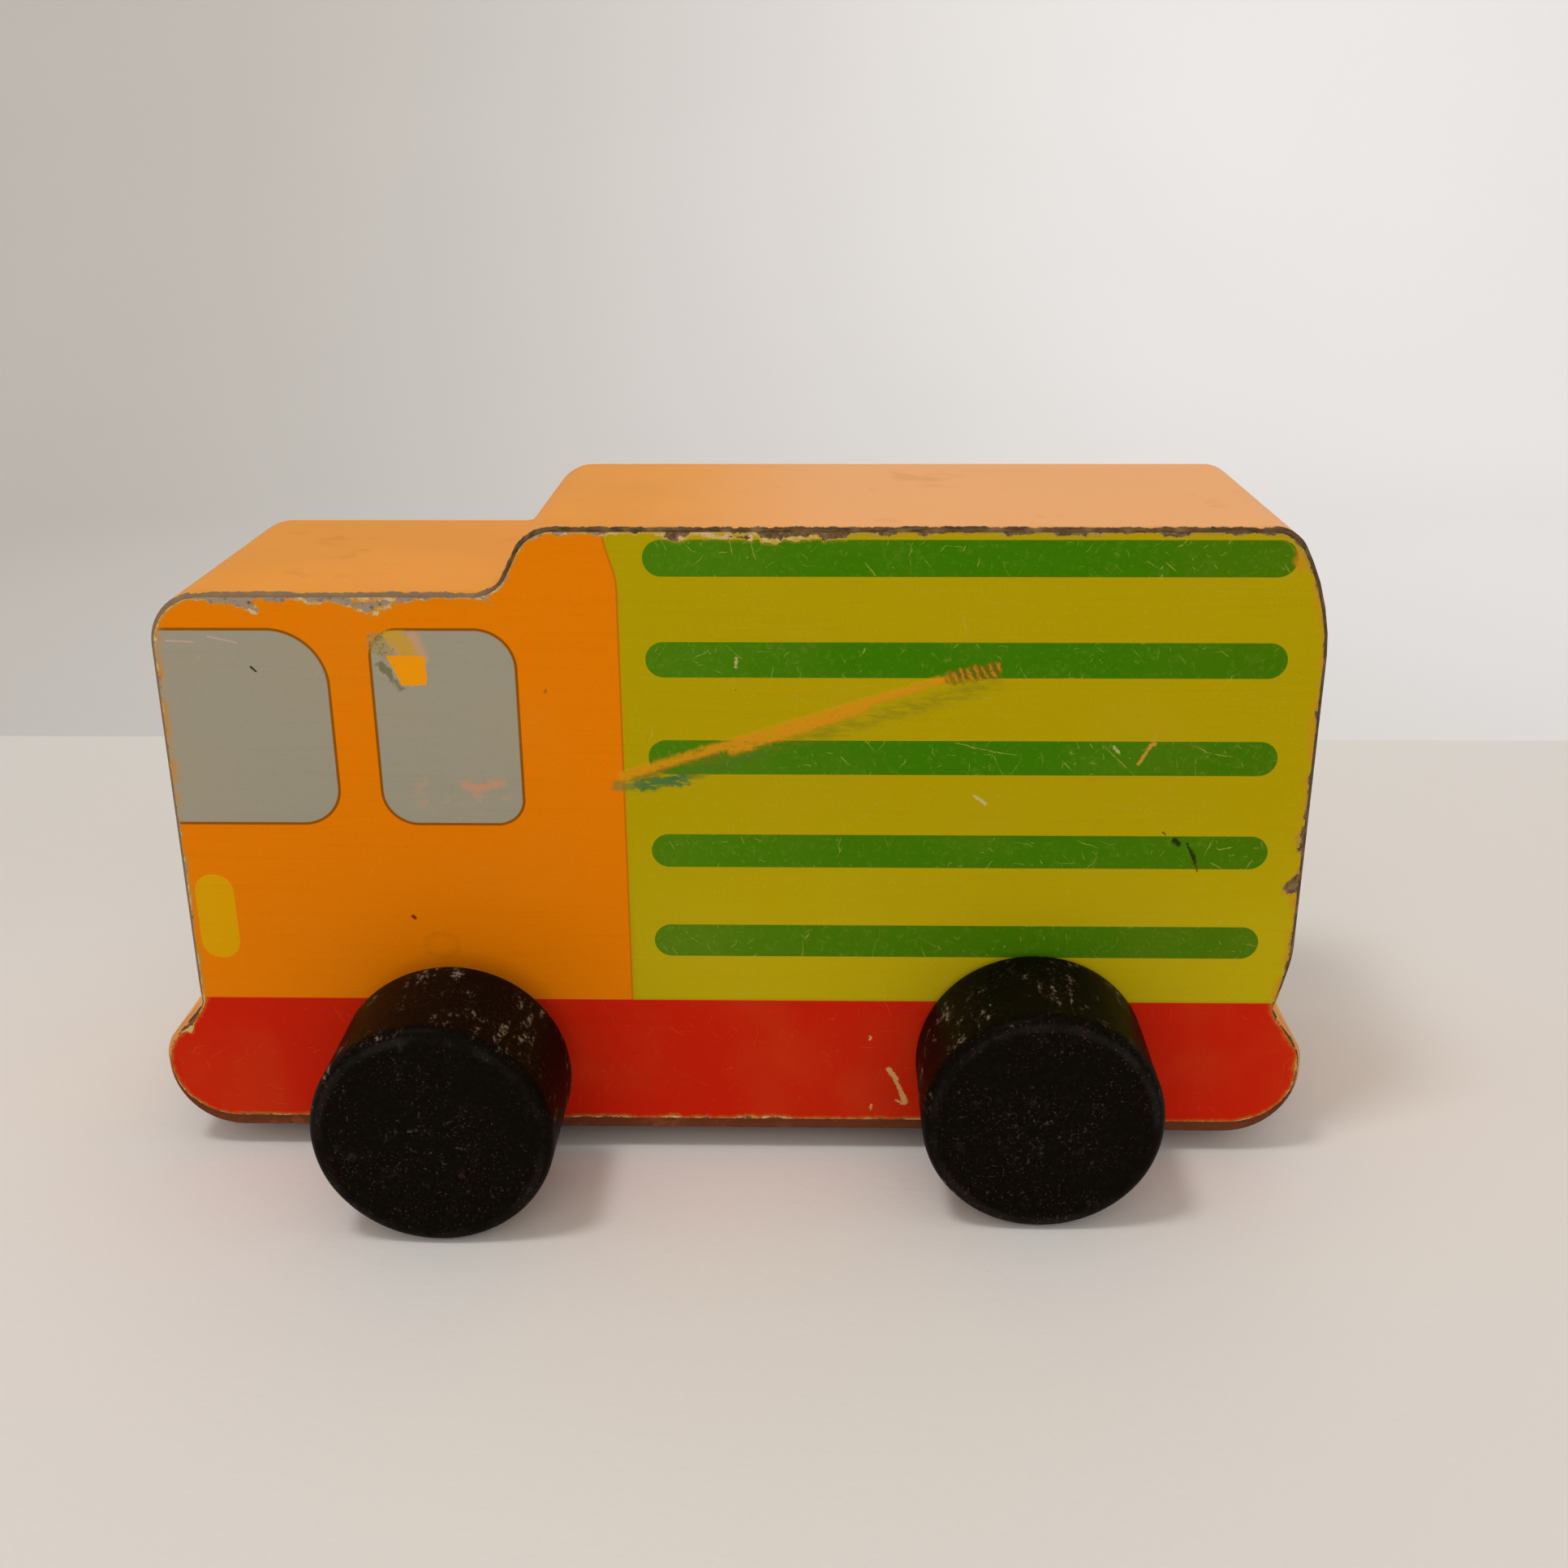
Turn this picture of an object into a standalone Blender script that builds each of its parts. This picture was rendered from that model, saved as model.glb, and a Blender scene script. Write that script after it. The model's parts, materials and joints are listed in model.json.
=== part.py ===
"""Wooden push along truck: a flat sawn block with printed sides on two free-running wheelsets.

Frame: X along the truck with the cab towards -X, Y across it, +Z up. The origin is on the ground
under the middle of the truck. All lengths are metres.
"""

import math

import bmesh
import bpy
from mathutils import Matrix, Vector

# Sawn block
BODY_LENGTH = 0.1324           # over both bumpers
BODY_THICKNESS = 0.0366        # over both printed sheets
BLOCK_HEIGHT = 0.0724          # underside to the roof of the load box
CAB_ROOF_DROP = 0.0070         # cab roof below the roof of the load box
CAB_ROOF_LENGTH = 0.0372       # front face to the foot of the roof step
STEP_RUN = 0.0036              # how far back the roof step leans over its height
FRONT_BUMPER_REACH = 0.0048    # bumper ahead of the front face
REAR_BUMPER_REACH = 0.0022     # bumper behind the rear face
WAIST_HEIGHT = 0.0165          # underside to the notch above each bumper
BUMPER_SHOULDER = 0.0110       # underside to the widest point of each bumper
REAR_TUCK = 0.0014             # rear face drawn in at the waist
REAR_TUCK_RISE = 0.0064        # height over which it is drawn in
REAR_SLOPE_RUN = 0.0044        # sloped rear end of the box roof, along X
REAR_SLOPE_DROP = 0.0085       # the same slope, along Z
BLOCK_EDGE_RADIUS = 0.0006     # sanded edge all round both sides

# Corner radii of the outline
BUMPER_TOE_RADIUS = 0.0082
BUMPER_SHOULDER_RADIUS = 0.0045
WAIST_RADIUS = 0.0012
REAR_TUCK_RADIUS = 0.0120
REAR_SLOPE_RADIUS = 0.0220
REAR_ROOF_RADIUS = 0.0040
STEP_TOP_RADIUS = 0.0045
STEP_FOOT_RADIUS = 0.0035
CAB_FRONT_RADIUS = 0.0060
ARC_STEP = math.radians(11.0)  # turn between two points of an arc

# Printed sheets glued to both sides
SHEET_THICKNESS = 0.0003
SHEET_MARGIN = 0.0006          # die-cut edge inside the block's outline
SHEET_FOOT_MARGIN = 0.0017     # lower edge above the underside
SEAT_GAP = 0.0003              # between two pieces that sit on each other

# Wheelsets
WHEEL_RADIUS = 0.0132
WHEEL_WIDTH = 0.0152
WHEEL_OUTER_ROUND = 0.0012
WHEEL_INNER_ROUND = 0.0006
WHEEL_FACE_WALL = 0.0052       # wood left between the blind bore and the outer face
FRONT_AXLE_SETBACK = 0.0352    # front bumper to the front axle
WHEELBASE = 0.0656
AXLE_RADIUS = 0.0030
AXLE_RUNNING_CLEARANCE = 0.0005
AXLE_INSET = 0.0106            # underside to the axle bores
SIDE_PLAY = 0.0022             # wheel to printed side, each side, with the wheelset central
WHEELSET_SHIFT = 0.0017        # how far each wheelset lies to one side, within its play
ROUND_SEGMENTS = 64
BORE_OVERRUN = 0.0020          # cutter beyond the block on both sides

# Derived places
HALF_LENGTH = BODY_LENGTH / 2
UNDERSIDE = WHEEL_RADIUS - AXLE_INSET
HALF_BLOCK = BODY_THICKNESS / 2 - SHEET_THICKNESS - SEAT_GAP
HALF_TRACK = BODY_THICKNESS / 2 + SIDE_PLAY
FRONT_AXLE_X = FRONT_AXLE_SETBACK - HALF_LENGTH
REAR_AXLE_X = FRONT_AXLE_X + WHEELBASE
BORE_RADIUS = AXLE_RADIUS + AXLE_RUNNING_CLEARANCE
WHEEL_BORE_DEPTH = WHEEL_WIDTH - WHEEL_FACE_WALL

BARE_ORANGE = (0.80, 0.30, 0.08)
PRINT_ORANGE = (0.80, 0.20, 0.004)
WHEEL_BLACK = (0.012, 0.012, 0.012)
BEECH = (0.55, 0.38, 0.22)


def clear_scene():
    for item in list(bpy.data.objects):
        bpy.data.objects.remove(item, do_unlink=True)


def make_material(name, colour, roughness, metallic=0.0):
    material = bpy.data.materials.new(name)
    material.use_nodes = True
    shader = material.node_tree.nodes["Principled BSDF"]
    shader.inputs["Base Color"].default_value = (*colour, 1.0)
    shader.inputs["Roughness"].default_value = roughness
    shader.inputs["Metallic"].default_value = metallic
    return material


def add_object(name, mesh, material=None, parent=None):
    """A new object in the scene; with no mesh it is an empty."""
    item = bpy.data.objects.new(name, mesh)
    bpy.context.scene.collection.objects.link(item)
    if material is not None and material.name not in mesh.materials:
        mesh.materials.append(material)
    item.parent = parent
    return item


def truck_corners():
    """The side outline as (x, z, radius) corners, anticlockwise as seen with X right and Z up."""
    front_face = -HALF_LENGTH + FRONT_BUMPER_REACH
    rear_face = HALF_LENGTH - REAR_BUMPER_REACH
    roof = UNDERSIDE + BLOCK_HEIGHT
    cab_roof = roof - CAB_ROOF_DROP
    waist = UNDERSIDE + WAIST_HEIGHT
    shoulder = UNDERSIDE + BUMPER_SHOULDER
    step_foot = front_face + CAB_ROOF_LENGTH
    return [
        (-HALF_LENGTH, UNDERSIDE, BUMPER_TOE_RADIUS),
        (HALF_LENGTH, UNDERSIDE, BUMPER_TOE_RADIUS),
        (HALF_LENGTH, shoulder, BUMPER_SHOULDER_RADIUS),
        (rear_face - REAR_TUCK, waist, WAIST_RADIUS),
        (rear_face, waist + REAR_TUCK_RISE, REAR_TUCK_RADIUS),
        (rear_face, roof - REAR_SLOPE_DROP, REAR_SLOPE_RADIUS),
        (rear_face - REAR_SLOPE_RUN, roof, REAR_ROOF_RADIUS),
        (step_foot + STEP_RUN, roof, STEP_TOP_RADIUS),
        (step_foot, cab_roof, STEP_FOOT_RADIUS),
        (front_face, cab_roof, CAB_FRONT_RADIUS),
        (front_face, waist, WAIST_RADIUS),
        (-HALF_LENGTH, shoulder, BUMPER_SHOULDER_RADIUS),
    ]


def corner_turn(before, corner, after):
    """Unit directions in and out of a corner, and the signed turn between them (left is positive)."""
    into = (Vector(corner[:2]) - Vector(before[:2])).normalized()
    out = (Vector(after[:2]) - Vector(corner[:2])).normalized()
    turn = math.atan2(into.x * out.y - into.y * out.x, into.dot(out))
    return into, out, turn


def inset_corners(corners, margin):
    """Corners of the same outline moved inwards by the margin, with radii to suit."""
    moved = []
    count = len(corners)
    for index, corner in enumerate(corners):
        into, out, turn = corner_turn(corners[index - 1], corner, corners[(index + 1) % count])
        inward = Vector((-into.y, into.x)) + Vector((-out.y, out.x))
        inward = inward / (1.0 + math.cos(turn))
        place = Vector(corner[:2]) + inward * margin
        radius = corner[2] - margin * math.copysign(1.0, turn)
        moved.append((place.x, place.y, max(radius, margin / 4)))
    return moved


def sheet_corners():
    """The printed sheet's corners: the block's, inset all round, with a higher lower edge."""
    foot = UNDERSIDE + SHEET_FOOT_MARGIN
    return [(x, max(z, foot), radius) for x, z, radius in inset_corners(truck_corners(), SHEET_MARGIN)]


def corner_tangents(corners):
    """Length that each corner's arc takes off its two edges, cut back where an edge is too short."""
    count = len(corners)
    wanted = []
    lengths = []
    for index, corner in enumerate(corners):
        after = corners[(index + 1) % count]
        turn = corner_turn(corners[index - 1], corner, after)[2]
        wanted.append(corner[2] * math.tan(abs(turn) / 2))
        lengths.append((Vector(after[:2]) - Vector(corner[:2])).length)
    share = []
    for index, length in enumerate(lengths):
        pair = wanted[index] + wanted[(index + 1) % count]
        share.append(min(1.0, 0.97 * length / pair))
    return [wanted[index] * min(share[index], share[index - 1]) for index in range(count)]


def round_corners(corners):
    """Points of the outline with every corner replaced by an arc of its radius."""
    points = []
    count = len(corners)
    tangents = corner_tangents(corners)
    for index, corner in enumerate(corners):
        into, out, turn = corner_turn(corners[index - 1], corner, corners[(index + 1) % count])
        side = math.copysign(1.0, turn)
        radius = tangents[index] / math.tan(abs(turn) / 2)
        start = Vector(corner[:2]) - into * tangents[index]
        centre = start + Vector((-into.y, into.x)) * side * radius
        steps = max(2, math.ceil(abs(turn) / ARC_STEP))
        for step in range(steps + 1):
            arm = start - centre
            arm.rotate(Matrix.Rotation(turn * step / steps, 2))
            points.append(centre + arm)
    return points


def extruded_mesh(name, points, near, far):
    """A closed slab of the outline between two planes across the truck."""
    mesh = bpy.data.meshes.new(name)
    shape = bmesh.new()
    corners = [shape.verts.new((point.x, near, point.y)) for point in points]
    face = shape.faces.new(corners)
    raised = bmesh.ops.extrude_face_region(shape, geom=[face])
    moved = [item for item in raised["geom"] if isinstance(item, bmesh.types.BMVert)]
    bmesh.ops.translate(shape, verts=moved, vec=(0.0, far - near, 0.0))
    bmesh.ops.recalc_face_normals(shape, faces=shape.faces)
    shape.to_mesh(mesh)
    shape.free()
    return mesh


def turned_mesh(name, profile):
    """A solid turned about the Y axis from (y, radius) points that start and end on the axis."""
    mesh = bpy.data.meshes.new(name)
    shape = bmesh.new()
    line = [shape.verts.new((radius, along, 0.0)) for along, radius in profile]
    edges = [shape.edges.new(pair) for pair in zip(line, line[1:])]
    bmesh.ops.spin(
        shape,
        geom=line + edges,
        cent=(0.0, 0.0, 0.0),
        axis=(0.0, 1.0, 0.0),
        angle=math.tau,
        steps=ROUND_SEGMENTS,
        use_merge=True,
    )
    bmesh.ops.remove_doubles(shape, verts=shape.verts, dist=1e-6)
    bmesh.ops.recalc_face_normals(shape, faces=shape.faces)
    shape.to_mesh(mesh)
    shape.free()
    mesh.shade_smooth()
    mesh.set_sharp_from_angle(angle=math.radians(40.0))
    return mesh


def quarter_round(centre_along, centre_radius, size, start, steps=4):
    """Points of a quarter circle in a turned profile, from the start angle, turning left."""
    points = []
    for step in range(steps + 1):
        angle = start + step * math.pi / 2 / steps
        points.append((centre_along + size * math.cos(angle), centre_radius + size * math.sin(angle)))
    return points


def wheel_mesh():
    """A plain disc with rounded rims and a blind axle bore; its inner face is at y = 0."""
    inner = WHEEL_INNER_ROUND
    outer = WHEEL_OUTER_ROUND
    bore = AXLE_RADIUS + SEAT_GAP
    rim_outer = quarter_round(WHEEL_WIDTH - outer, WHEEL_RADIUS - outer, outer, 0.0)
    rim_inner = quarter_round(inner, WHEEL_RADIUS - inner, inner, math.pi / 2)
    profile = [(WHEEL_WIDTH, 0.0)] + rim_outer + rim_inner
    profile += [(0.0, bore), (WHEEL_BORE_DEPTH, bore), (WHEEL_BORE_DEPTH, 0.0)]
    return turned_mesh("wheel", profile)


def axle_mesh():
    """A plain dowel that reaches almost to the bottom of both blind bores."""
    half = HALF_TRACK + WHEEL_BORE_DEPTH - SEAT_GAP
    return turned_mesh("axle", [(-half, 0.0), (-half, AXLE_RADIUS), (half, AXLE_RADIUS), (half, 0.0)])


def bore_cutter(name, axle_x):
    """A cylinder that cuts one axle bore through the block and both sheets."""
    half = BODY_THICKNESS / 2 + BORE_OVERRUN
    cutter = add_object(
        name,
        turned_mesh(name, [(half, 0.0), (half, BORE_RADIUS), (-half, BORE_RADIUS), (-half, 0.0)]),
    )
    cutter.location = (axle_x, 0.0, WHEEL_RADIUS)
    cutter.hide_render = True
    cutter.display_type = "WIRE"
    return cutter


def cut_bores(item, cutters):
    for cutter in cutters:
        cut = item.modifiers.new(cutter.name, "BOOLEAN")
        cut.operation = "DIFFERENCE"
        cut.object = cutter


def build_block(cutters):
    points = round_corners(truck_corners())
    mesh = extruded_mesh("body_block", points, -HALF_BLOCK, HALF_BLOCK)
    block = add_object("body_block", mesh, make_material("body_paint", BARE_ORANGE, 0.5))
    edges = block.modifiers.new("sanded_edges", "BEVEL")
    edges.width = BLOCK_EDGE_RADIUS
    edges.segments = 3
    edges.limit_method = "ANGLE"
    edges.angle_limit = math.radians(60.0)
    cut_bores(block, cutters)


def build_sheets(cutters):
    points = round_corners(sheet_corners())
    material = make_material("side_print", PRINT_ORANGE, 0.4)
    inside = HALF_BLOCK + SEAT_GAP
    outside = inside + SHEET_THICKNESS
    for name, near, far in (
        ("left_side_print", -outside, -inside),
        ("right_side_print", inside, outside),
    ):
        sheet = add_object(name, extruded_mesh(name, points, near, far), material)
        cut_bores(sheet, cutters)


def build_wheelset(end, axle_x, shift, meshes, materials):
    """One dowel and its two wheels, under an empty that stands on the joint's axis."""
    pivot = add_object(end + "_wheelset", None)
    pivot.location = (axle_x, shift, WHEEL_RADIUS)
    add_object(end + "_axle", meshes["axle"], materials["axle"], pivot)
    for side, direction in (("left", -1.0), ("right", 1.0)):
        wheel = add_object(f"{end}_{side}_wheel", meshes["wheel"], materials["wheel"], pivot)
        wheel.location = (0.0, direction * HALF_TRACK, 0.0)
        wheel.rotation_euler = (0.0, 0.0, 0.0 if direction > 0 else math.pi)


def main():
    clear_scene()
    cutters = [
        bore_cutter("front_bore_cutter", FRONT_AXLE_X),
        bore_cutter("rear_bore_cutter", REAR_AXLE_X),
    ]
    build_block(cutters)
    build_sheets(cutters)
    meshes = {"wheel": wheel_mesh(), "axle": axle_mesh()}
    materials = {
        "wheel": make_material("wheel_paint", WHEEL_BLACK, 0.45),
        "axle": make_material("dowel_wood", BEECH, 0.65),
    }
    build_wheelset("front", FRONT_AXLE_X, -WHEELSET_SHIFT, meshes, materials)
    build_wheelset("rear", REAR_AXLE_X, WHEELSET_SHIFT, meshes, materials)


main()
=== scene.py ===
"""A worn wooden push along truck, dressed over its packed frame.

The frame gives the sizes and places. This file adds the painted block, the two printed side
sheets, the dowels and the four black wheels, with their finishes, and a plain stage to see them on.
Lengths are metres in the frame. Patterns are worked out in millimetres, in the frame's X, Y and Z.
"""

import json
import math

import bmesh
import bpy
from bpy.props import FloatProperty, FloatVectorProperty, IntProperty, PointerProperty
from mathutils import Matrix, Vector


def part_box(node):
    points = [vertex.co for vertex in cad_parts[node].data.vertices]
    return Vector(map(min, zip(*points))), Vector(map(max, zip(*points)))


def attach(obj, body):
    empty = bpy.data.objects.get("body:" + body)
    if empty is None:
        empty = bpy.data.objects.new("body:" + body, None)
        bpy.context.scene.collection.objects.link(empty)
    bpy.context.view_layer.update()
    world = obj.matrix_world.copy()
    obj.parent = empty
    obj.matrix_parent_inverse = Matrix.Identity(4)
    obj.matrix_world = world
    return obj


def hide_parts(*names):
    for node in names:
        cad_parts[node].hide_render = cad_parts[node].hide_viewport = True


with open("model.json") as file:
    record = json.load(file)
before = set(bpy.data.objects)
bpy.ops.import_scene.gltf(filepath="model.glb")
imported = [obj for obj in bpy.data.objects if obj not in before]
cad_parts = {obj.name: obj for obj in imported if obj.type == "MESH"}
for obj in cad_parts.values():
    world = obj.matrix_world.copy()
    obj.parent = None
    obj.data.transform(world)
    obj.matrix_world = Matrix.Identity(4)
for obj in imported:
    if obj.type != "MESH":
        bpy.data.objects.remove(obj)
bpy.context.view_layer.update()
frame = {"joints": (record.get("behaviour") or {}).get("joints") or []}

bl_info = {
    "name": "Push Along Truck Dresser",
    "version": (1, 0, 0),
    "blender": (4, 5, 0),
    "location": "3D View > Sidebar > Truck",
    "description": "Builds the painted block, printed sides, dowels and wheels of a toy truck",
    "category": "Object",
}

MM = 0.001
TINY = 0.00002
SMOOTH_ANGLE = math.radians(35)
BEVEL_ANGLE = math.radians(60)
ARC_STEP = math.radians(7)
TOE_HEIGHT = 0.0090
RIM_RINGS = (0.3, 0.4, 0.6, 1.1)
FACE_RINGS = (0.0008, 0.0012, 0.0016, 0.0020, 0.0020, 0.0020)
ACROSS = (math.radians(90), 0.0, 0.0)
SIDES = {"left": -1.0, "right": 1.0}

# Places that the frame gives
BLOCK_LOW, BLOCK_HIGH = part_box("body_block")
OUTER_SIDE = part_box("right_side_print")[1].y
AXLE_PLACES = {joint["child"].split("_")[0]: Vector(joint["pos_m"]) for joint in frame["joints"]}


# ---------------------------------------------------------------- settings


def length(name, description, default):
    return FloatProperty(
        name=name, description=description, default=default, precision=5, subtype="DISTANCE", unit="LENGTH"
    )


def colour(name, description, default):
    return FloatVectorProperty(
        name=name, description=description, default=default, subtype="COLOR", size=3, min=0.0, max=1.0
    )


def angle(name, description, degrees):
    return FloatProperty(
        name=name, description=description, default=math.radians(degrees), subtype="ANGLE", unit="ROTATION"
    )


class BlockSettings(bpy.types.PropertyGroup):
    """Outline and paint of the sawn block."""

    cab_roof_drop: length("Cab roof drop", "Cab roof below the box roof", 0.0070)
    cab_roof_length: length("Cab roof length", "Front face to the foot of the step", 0.0372)
    step_run: length("Step run", "How far back the roof step leans", 0.0036)
    front_reach: length("Front reach", "Bumper ahead of the front face", 0.0048)
    rear_reach: length("Rear reach", "Bumper behind the rear face", 0.0022)
    shoulder: length("Shoulder", "Underside to the bumper's top corner", 0.0110)
    waist: length("Waist", "Underside to the notch above a bumper", 0.0165)
    rear_tuck: length("Rear tuck", "Rear face drawn in at the waist", 0.0014)
    tuck_rise: length("Tuck rise", "Height over which it is drawn in", 0.0064)
    slope_run: length("Slope run", "Sloped end of the box roof, along X", 0.0044)
    slope_drop: length("Slope drop", "Sloped end of the box roof, along Z", 0.0085)
    half_thickness: length("Half thickness", "Middle of the block to the board's face", 0.01812)
    edge_round: length("Sanded edge", "Rounding of the edges round both sides", 0.00062)
    edge_wear: length("Edge wear", "How deep the edges are worn uneven", 0.00022)
    bore_radius: length("Bore radius", "Running fit round a dowel", 0.0035)
    paint: colour("Roof paint", "Light orange satin paint", (0.88, 0.325, 0.016))
    board: colour("Bare board", "Fibreboard where the paint has gone", (0.130, 0.068, 0.024))
    primer: colour("Primer", "Cream filler under the paint", (0.66, 0.50, 0.27))


class PrintSettings(bpy.types.PropertyGroup):
    """Cut and inks of the printed side sheets."""

    margin: length("Margin", "Sheet edge inside the block's outline", 0.00055)
    foot_margin: length("Foot margin", "Sheet's lower edge above the underside", 0.0017)
    cab: colour("Cab orange", "Ink of the cab", (0.77, 0.196, 0.0004))
    box: colour("Box lime", "Ink of the load box", (0.435, 0.325, 0.0008))
    stripe: colour("Stripe green", "Ink of the five stripes", (0.040, 0.176, 0.0004))
    chassis: colour("Chassis red", "Ink of the chassis band", (0.565, 0.0125, 0.0026))
    window: colour("Window grey", "Ink of the two windows", (0.335, 0.305, 0.226))
    outline: colour("Outline", "Thin line round windows and cab", (0.100, 0.040, 0.0030))
    lamp: colour("Lamp yellow", "Ink of the headlamp", (0.69, 0.335, 0.0006))
    torn: colour("Torn paper", "Pale core where the sheet is torn", (0.62, 0.44, 0.22))


class WheelSettings(bpy.types.PropertyGroup):
    """Turned shape and paint of the wheels."""

    outer_round: length("Outer round", "Rounding of the outer rim", 0.0015)
    inner_round: length("Inner round", "Rounding of the inner rim", 0.0007)
    face_wall: length("Face wall", "Wood between the blind bore and the face", 0.0052)
    unevenness: length("Unevenness", "Depth of the hand-sanded hollows", 0.00016)
    segments: IntProperty(name="Segments", description="Facets round a wheel", default=144, min=24)
    paint: colour("Black paint", "Satin black of the wheels", (0.0030, 0.0021, 0.0012))
    worn: colour("Worn rim", "Greyer paint on the rubbed rim", (0.040, 0.036, 0.032))
    scuff: colour("Scuff", "Pale dust in the scuffs", (0.30, 0.22, 0.15))


class DowelSettings(bpy.types.PropertyGroup):
    """The beech dowels that the wheels are glued on."""

    chamfer: length("Chamfer", "Chamfer on both ends", 0.0005)
    wood: colour("Beech", "Bare dowel wood", (0.50, 0.33, 0.18))


class StageSettings(bpy.types.PropertyGroup):
    """Floor, card behind, lights and camera."""

    card_place: length("Card place", "Where the second card starts behind the object, along Y", 0.129)
    sweep_place: length("Sweep place", "Where that card starts to curve up, along Y", 0.34)
    sweep_radius: length("Sweep radius", "How gently it curves up", 0.30)
    floor: colour("Floor paper", "Pale warm paper on the table", (0.82, 0.780, 0.725))
    # The card's two tones are painted shade at its left end and painted window light at its right end.
    card_left: colour("Card left", "Pale card behind, at its shaded end", (0.60, 0.575, 0.535))
    card_right: colour("Card right", "The same card at its window end", (0.90, 0.89, 0.88))
    world: colour("Room light", "Light from all round", (1.0, 0.965, 0.945))
    camera_place: FloatVectorProperty(
        name="Camera place", description="Where the camera stands", default=(0.0101, -0.1929, 0.11345),
        size=3, subtype="XYZ", unit="LENGTH",
    )
    camera_lens: FloatProperty(name="Lens", description="Focal length", default=39.295, unit="CAMERA")
    camera_turn: angle("Turn", "Camera's heading from +Y towards -X", 1.2145)
    camera_tilt: angle("Tilt", "How far the camera looks down", 20.9456)
    camera_roll: angle("Roll", "Camera turned about its own axis", -0.2256)


# ---------------------------------------------------------------- shader values


class Shade:
    """A shader value. Expressions on shades add Math nodes."""

    def __init__(self, finish, output):
        self.finish = finish
        self.output = output

    def math(self, operation, *others):
        return self.finish.math(operation, self, *others)

    def __add__(self, other):
        return self.math("ADD", other)

    def __sub__(self, other):
        return self.math("SUBTRACT", other)

    def __rsub__(self, other):
        return self.finish.math("SUBTRACT", other, self)

    def __mul__(self, other):
        return self.math("MULTIPLY", other)

    def __truediv__(self, other):
        return self.math("DIVIDE", other)

    def __abs__(self):
        return self.math("ABSOLUTE")

    __radd__ = __add__
    __rmul__ = __mul__

    def least(self, other):
        return self.math("MINIMUM", other)

    def most(self, other):
        return self.math("MAXIMUM", other)

    def over(self, limit):
        return self.math("GREATER_THAN", limit)

    def other(self, name):
        """Another output of the same node."""
        return Shade(self.finish, self.output.node.outputs[name])

    def rise(self, start, end):
        """0 up to start, 1 past end and smooth between; it falls where start is the larger."""
        sockets = {"Value": self, "From Min": start, "From Max": end}
        return self.finish.node("ShaderNodeMapRange", {"interpolation_type": "SMOOTHSTEP"}, sockets)


SURFACE_SOCKETS = {"specular": "Specular IOR Level", "tint": "Specular Tint"}


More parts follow.
